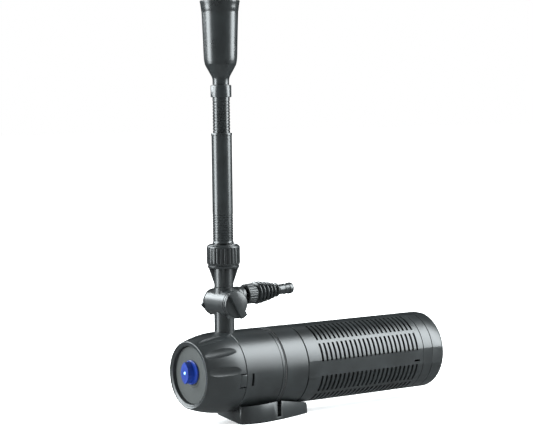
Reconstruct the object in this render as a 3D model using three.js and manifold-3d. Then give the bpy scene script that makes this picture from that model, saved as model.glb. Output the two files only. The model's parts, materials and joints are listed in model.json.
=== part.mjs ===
// Fountain submersible pump: a horizontal motor and filter body on a foot, with a diverter
// valve, a stepped hose tail and a ball-jointed telescopic riser that ends in a bell nozzle.
// Millimetres, +Z up, +X towards the filter end. The origin is the centre of the foot's underside.
import * as THREE from 'three'
import { mergeVertices } from 'three/addons/utils/BufferGeometryUtils.js'
import Module from 'manifold-3d'

const wasm = await Module()
wasm.setup()

// ---- driving dimensions ----
const axisHeight = 54 // body axis above the ground
const riserX = -48 // riser axis along X, from the middle of the foot
const bodyRadius = 44
const bodyWall = 2.8
const gap = 0.3 // between pieces that touch
const flatHeight = 42.9 // from the body axis to each of the cage's four flats
const cageRoll = THREE.MathUtils.degToRad(3) // the cage's flats sit turned a little about the body axis

// places along the body, measured from the riser axis
const rimX = -48.4
const rimRadius = 36.4
const recessX = -43.3 // front of the sunk disc
const recessRadius = 31.5
const ledgeX = -40.5 // back of the recess, where a lip holds the disc
const capEndX = -2.2
const housingEndX = 49.8
const gasketEndX = 51.6
const cageEndX = 248.6
const ringEndX = 262.1
const bodyEndX = 282

// slots in the filter cage
const cageBore = 40.4
const slotCount = 23
const slotPitch = 6.24
const firstSlotX = 101.9
const slotWidth = 2.8
const sectionAngles = [12.9, 34.3, 55.7, 77.1] // corners of a quarter of the cage's section, degrees
const slotBand = [14.5, 75.5] // degrees above and below the side, on both sides

// outlet, valve and hose tail; heights from the body axis
const pipeRadius = 10.95
const barrelHeight = 75
const barrelRadius = 14.4
const barrelHalf = 17.7
const neckTop = 92.2
const stubHeight = 80.9
const stubPitch = THREE.MathUtils.degToRad(-2.5)
const knobFaceY = -24.5
const gripAngle = 62 // degrees

// ball joint, riser and nozzle; heights from the body axis
const cupFlange = 112.8
const cupTop = 115.8
const ballHeight = 122
const ballRadius = 13.2
const nutBottom = 116.2
const nutTop = 138.5
const nutRadius = 18
const outerBottom = 139
const outerTop = 259
const outerRadius = 11.05
const innerRadius = 9.28
const innerBottom = 186
const innerTop = 297
const collarTop = 310.5
const bellTop = 401

// pump unit
const chamberFrontX = -28
const chamberRadius = 33
const motorRearX = 62
const shaftRadius = 2

const fine = 28
const medium = 16
const coarse = 12

// ---- materials ----
function finish(colour, roughness, metalness = 0) {
  return () => new THREE.MeshStandardMaterial({ color: colour, roughness, metalness })
}
const charcoal = finish(0x24282a, 0.42)
const nearBlack = finish(0x1b1e1f, 0.5)
const discGrey = finish(0x3f4442, 0.55)
const blue = finish(0x1733c4, 0.3)
const paleBlue = finish(0x7fb4f5, 0.2)
const blackRubber = finish(0x161616, 0.85)
const ceramicWhite = finish(0xe8e6df, 0.3)
const magnetGrey = finish(0x3a3a3c, 0.6)
const steel = finish(0xb9bcbf, 0.3, 0.9)
const copper = finish(0xb56a3a, 0.4, 0.8)
const resin = finish(0x2b2b26, 0.5)
const clearGlass = finish(0xdfeaf0, 0.05)
const lampWhite = finish(0xf2f2f5, 0.3)
const boardGreen = finish(0x2c5a3a, 0.6)
const blackFoam = finish(0x202322, 0.95)

// ---- shape helpers ----
// Revolves [axial, radius] points about +Z. A profile off the axis closes on itself.
function turned(profile, segments = medium) {
  const points = profile.map(([axial, radius]) => new THREE.Vector2(radius, axial))
  const onAxis = points[0].x === 0 && points.at(-1).x === 0
  if (!onAxis) points.push(points[0].clone())
  return new THREE.LatheGeometry(points, segments).rotateX(Math.PI / 2)
}

// A plain round bar, or a tube where it has an inner radius.
function round(from, to, outer, inner = 0, segments = medium) {
  if (inner > 0) return turned([[from, inner], [from, outer], [to, outer], [to, inner]], segments)
  return turned([[from, 0], [from, outer], [to, outer], [to, 0]], segments)
}

const alongX = (geometry) => geometry.rotateY(Math.PI / 2).rotateX(Math.PI / 2)
const alongY = (geometry) => geometry.rotateX(-Math.PI / 2)

function block(x0, x1, y0, y1, z0, z1) {
  const box = new THREE.BoxGeometry(x1 - x0, y1 - y0, z1 - z0)
  return box.translate((x0 + x1) / 2, (y0 + y1) / 2, (z0 + z1) / 2)
}

// Extrudes an outline of [x, y] points along +Z.
function prism(outline, from, to) {
  const shape = new THREE.Shape(outline.map(([x, y]) => new THREE.Vector2(x, y)))
  const geometry = new THREE.ExtrudeGeometry(shape, { depth: to - from, bevelEnabled: false })
  return geometry.translate(0, 0, from)
}

function signedVolume(positions, triangles) {
  let volume = 0
  const corner = (i) => new THREE.Vector3().fromArray(positions, 3 * triangles[i])
  for (let i = 0; i < triangles.length; i += 3) {
    volume += corner(i).dot(corner(i + 1).cross(corner(i + 2))) / 6
  }
  return volume
}

function solid(geometry) {
  const plain = new THREE.BufferGeometry()
  plain.setAttribute('position', geometry.getAttribute('position').clone())
  if (geometry.index) plain.setIndex(geometry.index.clone())
  const merged = mergeVertices(plain, 1e-3)
  const source = merged.index.array
  const triangles = []
  for (let i = 0; i < source.length; i += 3) {
    const [a, b, c] = [source[i], source[i + 1], source[i + 2]]
    if (a !== b && b !== c && c !== a) triangles.push(a, b, c)
  }
  const positions = merged.getAttribute('position').array
  if (signedVolume(positions, triangles) < 0) triangles.reverse()
  return new wasm.Manifold(new wasm.Mesh({
    numProp: 3,
    vertProperties: new Float32Array(positions),
    triVerts: new Uint32Array(triangles),
  }))
}

const asSolid = (shape) => (shape.isBufferGeometry ? solid(shape) : shape)
const joined = (first, ...others) => others.reduce((sum, piece) => sum.add(asSolid(piece)), asSolid(first))
const cut = (first, ...tools) => tools.reduce((sum, tool) => sum.subtract(asSolid(tool)), asSolid(first))
const common = (first, second) => asSolid(first).intersect(asSolid(second))

function surface(shape) {
  const { vertProperties, triVerts } = asSolid(shape).getMesh()
  const geometry = new THREE.BufferGeometry()
  geometry.setAttribute('position', new THREE.BufferAttribute(vertProperties, 3))
  geometry.setIndex(new THREE.BufferAttribute(triVerts, 1))
  geometry.computeVertexNormals()
  return geometry
}

const pump = new THREE.Group()
const body = new THREE.Group() // its origin is where the riser axis meets the body axis
body.position.set(riserX, 0, axisHeight)
pump.add(body)

function add(name, shape, material, parent = body) {
  const mesh = new THREE.Mesh(surface(shape), material())
  mesh.name = name
  parent.add(mesh)
  return mesh
}

// Section of the cage's ring and cap: round, with four flats.
function flatsBlock(from, to) {
  return block(from, to, -flatHeight, flatHeight, -flatHeight, flatHeight).rotateX(cageRoll)
}
const riserHole = () => round(20, 60, pipeRadius + gap)

// ---- front cap ----
const swellEndX = -8
const capRadius = (x) => bodyRadius - (bodyRadius - rimRadius) * ((x - swellEndX) / (rimX - swellEndX)) ** 2
const latch = { frontX: -9.9, top: 1.8, bottom: -12.4 } // heights of the latch's edges

function latchBlock(clearance) {
  const { frontX, top, bottom } = latch
  return block(frontX - clearance, capEndX + 1, -50, -35, bottom - clearance, top + clearance)
}

function capShell() {
  const outside = []
  for (let i = 0; i <= 4; i += 1) {
    const x = THREE.MathUtils.lerp(rimX, swellEndX, i / 4)
    outside.push([x, capRadius(x)])
  }
  outside.push([capEndX, bodyRadius])
  const inside = [
    [capEndX, bodyRadius - bodyWall],
    [swellEndX, bodyRadius - bodyWall],
    [-28, capRadius(-28) - bodyWall - 0.4],
    [ledgeX + 0.6, capRadius(recessX) - 3.6],
    [ledgeX + 0.6, recessRadius - 2.5],
    [ledgeX, recessRadius - 2.5],
    [ledgeX, recessRadius],
    [rimX, recessRadius],
  ]
  return alongX(turned([...outside, ...inside], fine))
}

const fluteSize = [32, 5.8, 3.6]
const fluteSlope = THREE.MathUtils.degToRad(-10.6)

function capFlute(angle) {
  const flute = new THREE.SphereGeometry(1, 8, 6).scale(...fluteSize)
  flute.rotateY(fluteSlope).translate(-28, 0, 43.9)
  return flute.rotateX(Math.PI / 2 - THREE.MathUtils.degToRad(angle))
}

const fluteAngles = [9, 38, 66, 114, 142, 171]
const capBody = cut(capShell(), riserHole(), latchBlock(gap), ...fluteAngles.map(capFlute))
add('front_cap', capBody, charcoal)
const latchSkin = alongX(round(latch.frontX, capEndX, bodyRadius, bodyRadius - 2, fine))
add('cap_latch', common(latchSkin, latchBlock(0)), charcoal)

const knobHeight = 3 // the blue knob sits a little above the disc's middle
const faceDisc = alongX(round(recessX, recessX + 2.5, recessRadius - gap, 0, fine))
const knobBore = alongX(round(recessX - 1, recessX + 4, 4.2, 0, coarse)).translate(0, 0, knobHeight)
add('face_disc', cut(faceDisc, knobBore), discGrey)

function blueKnob() {
  const lobe = () => alongX(round(-53, -45, 13.2, 0, medium))
  const grip = common(lobe().translate(0, 6.05, 0), lobe().translate(0, -6.05, 0))
  const base = alongX(round(-45.7, recessX - gap, 13.1, 0, medium))
  const stem = alongX(round(recessX - 1, recessX + 4.6, 3.4, 0, coarse))
  const eye = alongX(round(-54, -51.5, 2.3, 0, coarse))
  return cut(joined(grip, base, stem), eye)
}
const knobGroup = new THREE.Group()
knobGroup.position.set(0, 0, knobHeight)
body.add(knobGroup)
add('flow_knob', blueKnob(), blue, knobGroup)
const eyeProfile = [[-53.6, 0], [-53.3, 1.2], [-52.6, 2], [-51.8, 2], [-51.8, 0]]
add('knob_eye', alongX(turned(eyeProfile, coarse)), paleBlue, knobGroup)
add('knob_o_ring', alongX(round(recessX + 2.8, recessX + 4.4, 5.6, 3.7, coarse)), blackRubber, knobGroup)

function flowShutter() {
  const disc = alongX(round(recessX + 4.9, recessX + 6.9, 22, 0, medium))
  const port = () => alongX(round(recessX + 4, recessX + 8, 5.5, 0, 10)).translate(0, 14, 0)
  return cut(disc, port(), port().rotateX(Math.PI * 2 / 3), port().rotateX(-Math.PI * 2 / 3))
}
add('flow_shutter', flowShutter(), nearBlack, knobGroup)

// ---- motor housing ----
const innerRadiusOfHousing = bodyRadius - bodyWall
const glandX = 30
const glandHeight = -6

function motorHousing() {
  const shell = alongX(round(capEndX + gap, housingEndX, bodyRadius, innerRadiusOfHousing, fine))
  const web = alongX(round(34, 37, innerRadiusOfHousing + 1, 30.4, fine))
  const boss = alongY(round(40, 49, 9.5, 0, coarse)).translate(glandX, 0, glandHeight)
  const glandBore = alongY(round(35, 50, 6.3, 0, coarse)).translate(glandX, 0, glandHeight)
  const latchSlot = block(5.6, 6.9, -50, -40, -11.6, 1.4)
  return cut(joined(shell, web, boss), glandBore, latchSlot, riserHole())
}
add('motor_housing', motorHousing(), charcoal)

const gland = (geometry) => alongY(geometry).translate(glandX, 0, glandHeight)
const glandProfile = [[40, 4.5], [40, 6], [49.3, 6], [49.3, 9], [52, 9], [52, 4.5]]
add('cable_gland', gland(turned(glandProfile, coarse)), nearBlack)
add('gland_seal', gland(round(41, 51, 4.2, 2.9, coarse)), blackRubber)
add('gland_nut', gland(turned([[52.3, 3.2], [52.3, 8.6], [58, 8.2], [60, 6.6], [60, 3.2]], coarse)), nearBlack)

// ---- pump chamber, impeller and motor ----
function pumpChamber() {
  const drum = alongX(round(chamberFrontX, 15, chamberRadius, 0, fine))
  const hollow = alongX(round(chamberFrontX - 1, 11, 29.5, 0, fine))
  const shaftSide = alongX(round(10, 16, 14, 0, medium))
  const boss = round(26, 37.5, 13.6)
  return cut(joined(drum, boss), hollow, shaftSide, round(20, 40, pipeRadius - 1.5))
}
add('pump_chamber', pumpChamber(), nearBlack)
const coverProfile = [
  [-33, 8], [-33, 11], [-28.3, 14], [-28.3, 29.2], [-25, 29.2], [-25, 9.5], [-28.6, 8],
]
add('impeller_cover', alongX(turned(coverProfile, medium)), nearBlack)
add('chamber_seal', alongX(round(15.3, 17.3, 25, 22, medium)), blackRubber)

function impeller() {
  const hub = alongX(round(-10, 12, 7, 0, coarse))
  const plate = alongX(round(8, 10, 22, 0, medium))
  let wheel = joined(hub, plate)
  for (let i = 0; i < 6; i += 1) {
    const vane = block(-9, 9, -0.9, 0.9, 4, 21.5).rotateX(i * Math.PI / 3)
    wheel = joined(wheel, vane)
  }
  return cut(wheel, alongX(round(-12, 14, shaftRadius + 0.15, 0, 16)))
}
add('impeller', impeller(), nearBlack)
add('rotor_magnet', alongX(round(20, 56, 11.6, shaftRadius + 0.15, medium)), magnetGrey)
add('rotor_shaft', alongX(round(-18, 60, shaftRadius, 0, 16)), ceramicWhite)
add('front_bush', alongX(round(12.5, 18.5, 5, shaftRadius + 0.15, 16)), blackRubber)
add('rear_bush', alongX(round(56.5, 59.7, 5, shaftRadius + 0.15, 16)), blackRubber)

const wellRadius = 12.4
const canProfile = [
  [60.6, 0], [60.6, wellRadius], [17.7, wellRadius], [17.7, 28.5], [60, 28.5], [60, 26.5], [20.5, 26.5],
  [20.5, wellRadius + 1.4], [motorRearX, wellRadius + 1.4], [motorRearX, 0],
]
add('motor_can', alongX(turned(canProfile)), nearBlack)
add('can_ring', alongX(round(29, 33.7, 30.1, 28.8, fine)), blackRubber)
add('stator_core', alongX(round(30, 48, 21, 14.2, medium)), steel)
add('coil_front', alongX(round(22.5, 29.6, 23, 14.2, medium)), copper)
add('coil_rear', alongX(round(48.4, 55.5, 23, 14.2, medium)), copper)
add('potting_plug', alongX(round(56.2, 59.6, 26.2, 14.2, medium)), resin)

// ---- bulkhead and lamp ----
function bulkhead() {
  const disc = alongX(round(64, 67, 39.5, 0, fine))
  let plate = cut(disc, alongX(round(60, 70, 16.3, 0, medium)))
  for (let i = 0; i < 6; i += 1) {
    const port = alongX(round(60, 70, 5, 0, 8)).translate(0, 0, 29).rotateX(i * Math.PI / 3)
    plate = cut(plate, port)
  }
  return plate
}
add('filter_bulkhead', bulkhead(), nearBlack)
add('lamp_holder', alongX(turned([[63, 0], [63, 16], [75, 16], [75, 12], [70, 12], [70, 0]], medium)), nearBlack)
add('ballast_board', alongX(round(70.3, 71.9, 11.7, 0, coarse)), boardGreen)
add('sleeve_seal', alongX(round(75.3, 78, 16, 13.9, medium)), blackRubber)
const sleeveProfile = [[229.5, 0], [221, 11.2], [75.3, 11.2], [75.3, 13.5], [222, 13.5], [229, 9], [231, 0]]
add('quartz_sleeve', alongX(turned(sleeveProfile)), clearGlass)

function twinLamp() {
  const foot = alongX(round(72.3, 84, 10.4, 0, coarse))
  const tube = (y) => alongX(round(83, 205, 4.2, 0, 12)).translate(0, y, 0)
  return joined(foot, tube(5), tube(-5), block(198, 204, -5, 5, -3, 3))
}
add('uv_lamp', twinLamp(), lampWhite)

// ---- filter ----
function coreTube() {
  let tube = solid(alongX(round(80, 242, 20.5, 18, 16)))
  for (let row = 0; row < 3; row += 1) {
    const x = 95 + row * 50
    tube = cut(tube, block(x, x + 36, -25, 25, -4, 4), block(x, x + 36, -4, 4, -25, 25))
  }
  return tube
}
add('core_tube', coreTube(), nearBlack)
add('filter_foam', alongX(round(84, 240, 39.2, 21, fine)), blackFoam)

const gasketRadius = bodyRadius - 0.4
add('joint_gasket', alongX(round(housingEndX + gap, gasketEndX, gasketRadius, 41.4, fine)), blackRubber)

// Corners of the cage's section, all the way round, on a circle.
function sectionCorners(radius, middles = []) {
  const quarter = [...middles, ...sectionAngles]
  const corners = []
  for (let i = 0; i < 4; i += 1) {
    for (const angle of quarter) {
      const turn = THREE.MathUtils.degToRad(angle + 90 * i) + cageRoll
      corners.push([radius * Math.cos(turn), radius * Math.sin(turn)])
    }
  }
  return corners
}

function filterCage() {
  const ribbedZone = alongX(prism(sectionCorners(bodyRadius), 74, cageEndX))
  const plainZone = alongX(round(gasketEndX + gap, 75, bodyRadius, 0, fine))
  const bore = alongX(prism(sectionCorners(cageBore, [0]), 50, 250))
  let cage = cut(joined(ribbedZone, plainZone), bore)
  const [low, high] = slotBand.map(THREE.MathUtils.degToRad)
  const middle = (low + high) / 2
  const half = bodyRadius * Math.sin((high - low) / 2)
  const turns = [Math.PI / 2 - middle, Math.PI / 2 + middle, middle - Math.PI / 2, -middle - Math.PI / 2]
  for (let i = 0; i < slotCount; i += 1) {
    const x = firstSlotX + i * slotPitch
    for (const turn of turns) {
      const slot = block(x - slotWidth / 2, x + slotWidth / 2, -half, half, 30, 50)
      cage = cage.subtract(solid(slot.rotateX(turn + cageRoll)))
    }
  }
  return cage
}
add('filter_cage', filterCage(), charcoal)

function rearRing() {
  const tube = alongX(round(cageEndX + gap, ringEndX, bodyRadius, 0, fine))
  return cut(common(tube, flatsBlock(240, 300)), alongX(round(240, 300, 38, 0, fine)))
}
add('rear_ring', rearRing(), charcoal)

function rearCap() {
  const outside = [
    [ringEndX + gap, 0], [ringEndX + gap, bodyRadius], [276.5, bodyRadius], [280.5, 41.8],
    [bodyEndX, 38], [bodyEndX, 0],
  ]
  const plug = alongX(round(256, 264, 37.6, 0, fine))
  const hollow = alongX(round(250, 279, 35, 0, fine))
  return cut(joined(common(alongX(turned(outside, fine)), flatsBlock(250, 300)), plug), hollow)
}
add('rear_cap', rearCap(), charcoal)

// ---- foot ----
const footFrontX = -3
const footRearX = 100
const footWidestX = 23
const footScrewX = [18, 38]

function footHalfWidth(x) {
  const back = x - footWidestX
  if (back < 0) return 39 - 0.0055 * back ** 2
  return 39 - 0.12 * back - 0.0021 * back ** 2
}

function footOutline() {
  const side = [[footFrontX, footHalfWidth(footFrontX) - 5], [footFrontX + 1.5, footHalfWidth(0) - 1.5]]
  for (const x of [4, 13, 23, 35, 47, 60, 73, 87, footRearX - 3]) side.push([x, footHalfWidth(x)])
  side.push([footRearX, footHalfWidth(footRearX) - 2.5])
  const mirrored = side.map(([x, y]) => [x, -y]).reverse()
  return [...side, ...mirrored]
}

function footBase() {
  const plan = prism(footOutline(), -axisHeight, -30)
  const outline = [
    [-10, -axisHeight - 1], [110, -axisHeight - 1], [96, -42], [75, -36.6], [48, -33.2], [0, -34.8], [-10, -35.4],
  ]
  const profile = prism(outline, -50, 50).rotateX(Math.PI / 2)
  const saddle = alongX(round(-60, 120, bodyRadius + gap, 0, fine))
  const screwHole = (x) => round(-56, -44, 2.3, 0, 16).translate(x, 0, 0)
  const counterbore = (x) => round(-56, -51, 4.4, 0, 16).translate(x, 0, 0)
  const frontTrim = prism([[-20, -80], [-16.4, -80], [27.4, 80], [-20, 80]], -60, -20)
  const grooves = [block(44, 50.5, 29, 42, -50.5, -20), block(44, 50.5, -42, -29, -50.5, -20)]
  const holes = footScrewX.flatMap((x) => [screwHole(x), counterbore(x)])
  return cut(common(plan, profile), saddle, frontTrim, ...grooves, ...holes)
}
add('foot_base', footBase(), charcoal)
const footScrew = () => joined(round(-53.6, -51.4, 4, 0, 16), round(-52, -45, 1.9, 0, 12))
add('foot_screw_front', footScrew(), steel).position.x = footScrewX[0]
add('foot_screw_rear', footScrew(), steel).position.x = footScrewX[1]

// ---- diverter valve ----
const stub = new THREE.Group() // the hose outlet's own direction, turned up a little
stub.position.set(0, 0, stubHeight)
stub.rotation.y = stubPitch
body.add(stub)
const inStubFrame = (geometry) => geometry.rotateY(stubPitch).translate(0, 0, stubHeight)

function valveBody() {
  const barrel = alongY(round(-barrelHalf, barrelHalf, barrelRadius)).translate(0, 0, barrelHeight)
  const pipe = round(39, neckTop, pipeRadius)
  const spigot = round(30, 40, 9)
  const elbow = new THREE.SphereGeometry(9.6, 12, 8).translate(20, 0, 0)
  const outlet = alongX(round(18, 26, 9.4))
  const flange = alongX(round(24.2, 26.8, 11.4))
  const thread = alongX(round(26, 34.1, 8))
  const all = joined(barrel, pipe, spigot, ...[elbow, outlet, flange, thread].map(inStubFrame))
  const chamber = alongY(round(-barrelHalf - 1, barrelHalf + 1, 11.6)).translate(0, 0, barrelHeight)
  const bore = round(28, 100, 7.4)
  const sideBore = inStubFrame(alongX(round(6, 40, 5.8)))
  return cut(all, chamber, bore, sideBore)
}
add('valve_body', valveBody(), charcoal)

function farCap() {
  const disc = alongY(round(barrelHalf + gap, barrelHalf + 2.8, barrelRadius))
  const plug = alongY(round(barrelHalf - 3, barrelHalf + 1, 11.2))
  const corner = [[-14.1, 1.1], [-16.5, -2.8], [-4.1, -14.8], [0, 0]]
  const lug = prism(corner, -barrelHalf - 2.8, -barrelHalf - gap).rotateX(Math.PI / 2)
  return joined(disc, plug, lug)
}
const barrel = new THREE.Group()
barrel.position.set(0, 0, barrelHeight)
body.add(barrel)
add('valve_far_cap', farCap(), charcoal, barrel)
add('valve_seal', alongY(round(-17.4, -15.8, 11.3, 9.4)), blackRubber, barrel)

function valveKnob() {
  const skirt = alongY(round(knobFaceY, -barrelHalf - gap, barrelRadius))
  const grip = block(-18, 18, knobFaceY - 3.2, knobFaceY + 0.5, -4.3, 4.3)
  const ends = alongY(round(knobFaceY - 4, knobFaceY + 1, 16.2))
  const lug = prism([[-9, -10], [-8, -15.2], [3.5, -15.6], [9, -10]], 18.3, 23.5).rotateX(Math.PI / 2)
  const bar = common(grip, ends).rotate([0, gripAngle, 0])
  const stem = alongY(round(-barrelHalf - 1, -9.6, 9))
  return joined(skirt, bar, lug, stem)
}
add('valve_knob', valveKnob(), charcoal, barrel)

function valveSpool() {
  const drum = alongY(round(-9.2, 14, 11.2))
  const through = round(-20, 20, 6.5)
  const side = alongX(round(0, 20, 6.5))
  return cut(drum, through, side)
}
add('valve_spool', valveSpool(), nearBlack, barrel)

// ---- hose nut and stepped hose tail ----
function ribbed(profile, outer, count, axisTurn, from, to, depth) {
  let shape = asSolid(axisTurn(turned(profile)))
  for (let i = 0; i < count; i += 1) {
    const groove = round(from, to, depth, 0, 4).translate(outer, 0, 0).rotateZ((i + 0.5) * 2 * Math.PI / count)
    shape = shape.subtract(solid(axisTurn(groove)))
  }
  return shape
}
const hoseNutProfile = [[27.1, 8.4], [27.1, 11], [38.3, 11.4], [39.9, 10.4], [39.9, 8.2], [35.9, 8.2], [35.9, 8.4]]
add('hose_nut', ribbed(hoseNutProfile, 11.5, 14, alongX, 26, 38, 0.9), charcoal, stub)
add('hose_seal', alongX(round(34.4, 35.6, 7.8, 5.6)), blackRubber, stub)

function hoseAdapter() {
  const outside = [[36.1, 5], [36.1, 7.9], [40.3, 7.9], [40.3, 9.6]]
  const crests = [[42.9, 12.6], [47.9, 12.2], [53.6, 11.3], [59.2, 10.2], [64.3, 9], [70.4, 7.8]]
  for (const [x, crest] of crests) {
    outside.push([x - 2.1, crest - 2.2], [x - 1.5, crest - 0.2], [x, crest], [x + 0.3, crest - 2.2])
  }
  outside.push([73, 5.7], [86.2, 5.7], [86.8, 6.3], [90.2, 6.3], [91.7, 5.2], [91.7, 4], [73, 4], [63, 5])
  return alongX(turned(outside, medium))
}
add('hose_adapter', hoseAdapter(), charcoal, stub)

// ---- ball joint ----
function ballCup() {
  const flange = turned([[cupFlange, 0], [cupFlange, 16.4], [cupFlange + 0.8, 17.1], [cupTop, 17.1], [cupTop, 0]])
  const stem = round(neckTop + gap, cupFlange + 1, 10.4)
  const wing = [[0, neckTop + 3], [10.2, neckTop + 3], [16.2, cupFlange + 0.5], [0, cupFlange + 0.5]]
  const gusset = (degrees) => prism(wing, -1, 1).rotateX(Math.PI / 2).rotateZ(THREE.MathUtils.degToRad(degrees))
  const thread = round(cupTop - 1, 127, 15)
  const socket = new THREE.SphereGeometry(ballRadius + 0.8, 12, 8).rotateX(Math.PI / 2).translate(0, 0, ballHeight)
  const mouth = round(ballHeight, 130, ballRadius + 0.6)
  return cut(joined(flange, stem, thread, ...[-36, 54, 144, 234].map(gusset)), socket, mouth, round(90, 115, 7.4))
}
add('ball_cup', ballCup(), charcoal)
add('cup_seal', round(neckTop - 6, neckTop - 4.6, 7.1, 5.6), blackRubber)
add('ball_seal_ring', turned([[127.6, 12.3], [127.6, 14.8], [129.6, 14.8], [129.6, 11.5]]), blackRubber)

function jointBall() {
  const ball = new THREE.SphereGeometry(ballRadius, 12, 8).rotateX(Math.PI / 2).translate(0, 0, ballHeight)
  const top = block(-20, 20, -20, 20, ballHeight + 10.6, ballHeight + 20)
  const bottom = block(-20, 20, -20, 20, ballHeight - 20, ballHeight - 10.6)
  const neck = round(ballHeight + 6, outerBottom + 7.4, 7.2)
  return cut(joined(cut(ball, top, bottom), neck), round(100, 160, 5.6))
}
add('joint_ball', jointBall(), charcoal)

const nutProfile = [
  [nutBottom, 15.6], [nutBottom, 16.8], [nutBottom + 1.4, nutRadius], [nutTop - 3, nutRadius],
  [nutTop - 0.8, 16.8], [nutTop, 15.4], [nutTop - 0.4, 14.8], [nutTop - 3.8, 11.6],
  [nutTop - 5, 11.6], [nutTop - 8.2, 12.8], [nutTop - 8.6, 15.6],
]
const upright = (geometry) => geometry
add('ball_nut', ribbed(nutProfile, nutRadius + 0.2, 20, upright, nutBottom + 1.6, nutTop - 2.6, 1.3), charcoal)

// ---- telescopic riser ----
const outerProfile = [
  [outerBottom, 7.7], [outerBottom, 11.5], [outerBottom + 2, 11.5], [outerBottom + 2, outerRadius],
  [outerTop - 3, outerRadius], [outerTop - 2.6, 11.4], [outerTop, 11.4], [outerTop, 9.5], [146.6, 9.5], [146.6, 7.7],
]
add('riser_outer', turned(outerProfile), charcoal)

function innerTube() {
  const profile = [[innerBottom, 7.4], [innerBottom, innerRadius]]
  for (let i = 0; i < 3; i += 1) {
    const z = outerTop + 6 + i * 12
    profile.push([z, innerRadius], [z + 0.8, innerRadius - 0.5], [z + 2, innerRadius])
  }
  profile.push([innerTop + 10, innerRadius], [innerTop + 10, 7.4])
  return turned(profile)
}
add('riser_inner', innerTube(), charcoal)

// ---- nozzle ----
const collarProfile = [
  [innerTop + 0.4, 9.6], [innerTop + 0.4, 11.2], [collarTop - 0.8, 11.2], [collarTop, 10.6], [collarTop, 9.6],
]
add('nozzle_collar', turned(collarProfile), charcoal)

const bellOutside = [
  [collarTop + 0.3, 8.94], [318, 9.32], [324.5, 12.55], [331, 16.1], [334.4, 17.3], [341, 18.08],
  [389, 19.72], [399.4, 21.5], [bellTop, 21.5],
]
const bellInside = [[bellTop, 20.2], [389, 18.1], [341, 16.3], [331, 14], [317, 7.6], [collarTop + 0.3, 7.6]]
add('bell_nozzle', turned([...bellOutside, ...bellInside]), charcoal)
add('jet_tube', turned([[307.4, 4.6], [307.4, 6.9], [316, 6.9], [320, 5.6], [342, 5.2], [342, 4]], coarse), nearBlack)

export default pump
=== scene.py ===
import json
import math

import bpy
from mathutils import Matrix, Vector


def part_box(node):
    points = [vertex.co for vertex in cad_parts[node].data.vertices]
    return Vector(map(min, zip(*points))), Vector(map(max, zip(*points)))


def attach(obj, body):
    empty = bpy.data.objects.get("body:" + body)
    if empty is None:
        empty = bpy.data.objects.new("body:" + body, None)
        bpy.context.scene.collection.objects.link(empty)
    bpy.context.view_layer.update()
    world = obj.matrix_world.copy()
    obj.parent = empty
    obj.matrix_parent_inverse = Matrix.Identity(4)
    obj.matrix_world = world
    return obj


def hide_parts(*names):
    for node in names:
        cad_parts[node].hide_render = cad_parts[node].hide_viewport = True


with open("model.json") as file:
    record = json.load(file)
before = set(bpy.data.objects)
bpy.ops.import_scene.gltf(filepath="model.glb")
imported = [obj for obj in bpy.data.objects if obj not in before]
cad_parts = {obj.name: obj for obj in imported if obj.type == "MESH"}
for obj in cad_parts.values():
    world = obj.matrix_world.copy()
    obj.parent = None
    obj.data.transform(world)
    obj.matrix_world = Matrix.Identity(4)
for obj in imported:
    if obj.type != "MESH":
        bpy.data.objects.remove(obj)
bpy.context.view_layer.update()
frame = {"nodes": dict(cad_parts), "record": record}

mm = 0.001

# The hub is where the riser's axis meets the body's axis. Pieces are sized in millimetres from it.
riserLow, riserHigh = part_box("riser_outer")
rearLow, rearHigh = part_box("rear_cap")
hub = Vector(((riserLow.x + riserHigh.x) / 2, (riserLow.y + riserHigh.y) / 2, (rearLow.z + rearHigh.z) / 2))
record = frame["record"]
bodyOf = {node: body for body, nodes in record["behaviour"]["bodies"].items() for node in nodes}
slotOf = {part["node"]: part["material_slot"] for part in record["subparts"]}


def spot(x=0, y=0, z=0):
    return hub + Vector((x, y, z)) * mm


def reach(node, axis):  # where a CAD node starts and ends along an axis
    low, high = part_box(node)
    return (low[axis] - hub[axis]) / mm, (high[axis] - hub[axis]) / mm


# ---- modelling helpers ----
def clearSelection():
    if bpy.context.object and bpy.context.object.mode == "EDIT":
        bpy.ops.object.mode_set(mode="OBJECT")
    bpy.ops.object.select_all(action="DESELECT")


def pick(piece):
    clearSelection()
    piece.select_set(True)
    bpy.context.view_layer.objects.active = piece


def editAll():
    bpy.ops.object.mode_set(mode="EDIT")
    bpy.ops.mesh.select_all(action="SELECT")


def closeUp(name):  # merge doubles, turn the faces outwards and leave edit mode
    bpy.ops.mesh.select_all(action="SELECT")
    bpy.ops.mesh.remove_doubles(threshold=0.002 * mm)
    bpy.ops.mesh.normals_make_consistent(inside=False)
    bpy.ops.object.mode_set(mode="OBJECT")
    piece = bpy.context.object
    piece.name = name
    return piece


def drawLine(points):  # a mesh line, left in edit mode
    clearSelection()
    bpy.ops.mesh.primitive_plane_add(size=mm)
    editAll()
    bpy.ops.mesh.merge(type="CENTER")
    bpy.ops.transform.translate(value=points[0])
    for start, end in zip(points, points[1:]):
        bpy.ops.mesh.extrude_region_move(TRANSFORM_OT_translate={"value": end - start})


hosePitch = math.radians(2.5)  # the hose outlet points up a little
directions = {
    "x": (Vector((1, 0, 0)), Vector((0, 0, 1))),
    "y": (Vector((0, 1, 0)), Vector((0, 0, 1))),
    "z": (Vector((0, 0, 1)), Vector((1, 0, 0))),
    "hose": (
        Vector((math.cos(hosePitch), 0, math.sin(hosePitch))),
        Vector((-math.sin(hosePitch), 0, math.cos(hosePitch))),
    ),
}


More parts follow.
